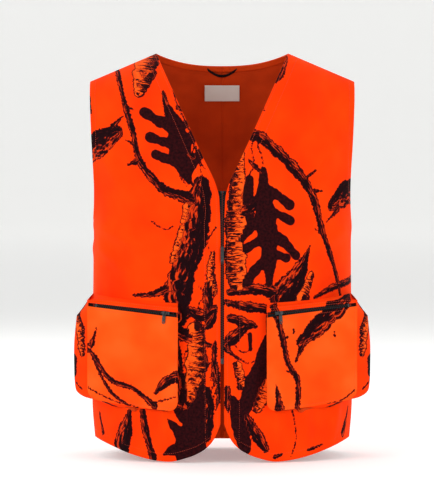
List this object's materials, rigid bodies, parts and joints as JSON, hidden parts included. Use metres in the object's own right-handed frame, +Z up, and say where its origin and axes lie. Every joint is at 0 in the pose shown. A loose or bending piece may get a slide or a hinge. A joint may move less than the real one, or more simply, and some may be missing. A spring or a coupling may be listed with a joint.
{
  "type": "hunting vest",
  "caption": "Blaze orange hunting vest with a V neck, an open-ended front zip and a zipped bellows pocket on each front.",
  "frame": {"origin": "on the wearer's axis, level with the hem's lowest point", "axes": "+Z up, the front faces -Y, +X towards the wearer's left"},
  "size_m": [0.4884, 0.28, 0.7],
  "materials": {
    "blaze_cloth": "matte printed polyester cloth",
    "facing_cloth": "matte plain polyester cloth",
    "zip_tape": "woven zip tape",
    "loop_tape": "woven tape",
    "zip_coil": "moulded zip coil",
    "black_enamel": "black enamelled zinc",
    "label": "blank woven label"
  },
  "bodies": {
    "vest": {"back_panel": "blaze_cloth", "back_hem_band": "facing_cloth", "neck_facing": "facing_cloth", "hanger_loop": "loop_tape", "neck_label": "label", "front_chest_left": "blaze_cloth", "front_chest_right": "blaze_cloth", "armhole_facing_left": "facing_cloth", "armhole_facing_right": "facing_cloth"},
    "front_left": {"front_flap_left": "blaze_cloth", "front_hem_band_left": "facing_cloth", "zip_facing_left": "facing_cloth", "zip_tape_left": "zip_tape", "zip_teeth_left": "zip_coil", "zip_top_stop_left": "black_enamel", "zip_insertion_pin": "black_enamel", "pocket_face_left": "blaze_cloth", "pocket_gusset_left": "blaze_cloth", "pocket_roof_left": "blaze_cloth", "pocket_zip_tape_upper_left": "zip_tape", "pocket_zip_tape_lower_left": "zip_tape", "pocket_zip_teeth_upper_left": "zip_coil", "pocket_zip_teeth_lower_left": "zip_coil", "pocket_zip_stop_inner_left": "black_enamel", "pocket_zip_stop_outer_left": "black_enamel"},
    "front_right": {"front_flap_right": "blaze_cloth", "front_hem_band_right": "facing_cloth", "zip_facing_right": "facing_cloth", "zip_tape_right": "zip_tape", "zip_teeth_right": "zip_coil", "zip_top_stop_right": "black_enamel", "zip_retainer_box": "black_enamel", "pocket_face_right": "blaze_cloth", "pocket_gusset_right": "blaze_cloth", "pocket_roof_right": "blaze_cloth", "pocket_zip_tape_upper_right": "zip_tape", "pocket_zip_tape_lower_right": "zip_tape", "pocket_zip_teeth_upper_right": "zip_coil", "pocket_zip_teeth_lower_right": "zip_coil", "pocket_zip_stop_inner_right": "black_enamel", "pocket_zip_stop_outer_right": "black_enamel"},
    "zip_slider": {"zip_slider": "black_enamel"},
    "zip_pull": {"zip_pull": "black_enamel"},
    "pocket_slider_left": {"pocket_zip_slider_left": "black_enamel"},
    "pocket_pull_left": {"pocket_zip_pull_left": "black_enamel"},
    "pocket_slider_right": {"pocket_zip_slider_right": "black_enamel"},
    "pocket_pull_right": {"pocket_zip_pull_right": "black_enamel"}
  },
  "joints": [
    {"name": "front_left_open", "type": "hinge", "parent": "vest", "child": "front_left", "pos_m": [0.2255, 0, 0.2], "axis": [0, 0, 1], "range_deg": [0, 35], "deforming": ["zip_teeth_left"]},
    {"name": "front_right_open", "type": "hinge", "parent": "vest", "child": "front_right", "pos_m": [-0.2255, 0, 0.2], "axis": [0, 0, -1], "range_deg": [0, 35]},
    {"name": "zip_slide", "type": "slide", "parent": "front_right", "child": "zip_slider", "axis": [0, 0, -1], "range_m": [-0.091, 0.179]},
    {"name": "zip_pull_swing", "type": "hinge", "parent": "zip_slider", "child": "zip_pull", "pos_m": [0, -0.14215, 0.362], "axis": [-1, 0, 0], "range_deg": [0, 150]},
    {"name": "pocket_slide_left", "type": "slide", "parent": "front_left", "child": "pocket_slider_left", "axis": [0.9397, 0.3313, 0.0843], "range_m": [0, 0.1185]},
    {"name": "pocket_pull_swing_left", "type": "hinge", "parent": "pocket_slider_left", "child": "pocket_pull_left", "pos_m": [0.0988, -0.14424, 0.25498], "axis": [-0.9397, -0.3313, -0.0843], "range_deg": [0, 140]},
    {"name": "pocket_slide_right", "type": "slide", "parent": "front_right", "child": "pocket_slider_right", "axis": [-0.9397, 0.3313, 0.0843], "range_m": [0, 0.1185]},
    {"name": "pocket_pull_swing_right", "type": "hinge", "parent": "pocket_slider_right", "child": "pocket_pull_right", "pos_m": [-0.0988, -0.14424, 0.25498], "axis": [-0.9397, 0.3313, 0.0843], "range_deg": [0, 140]}
  ]
}
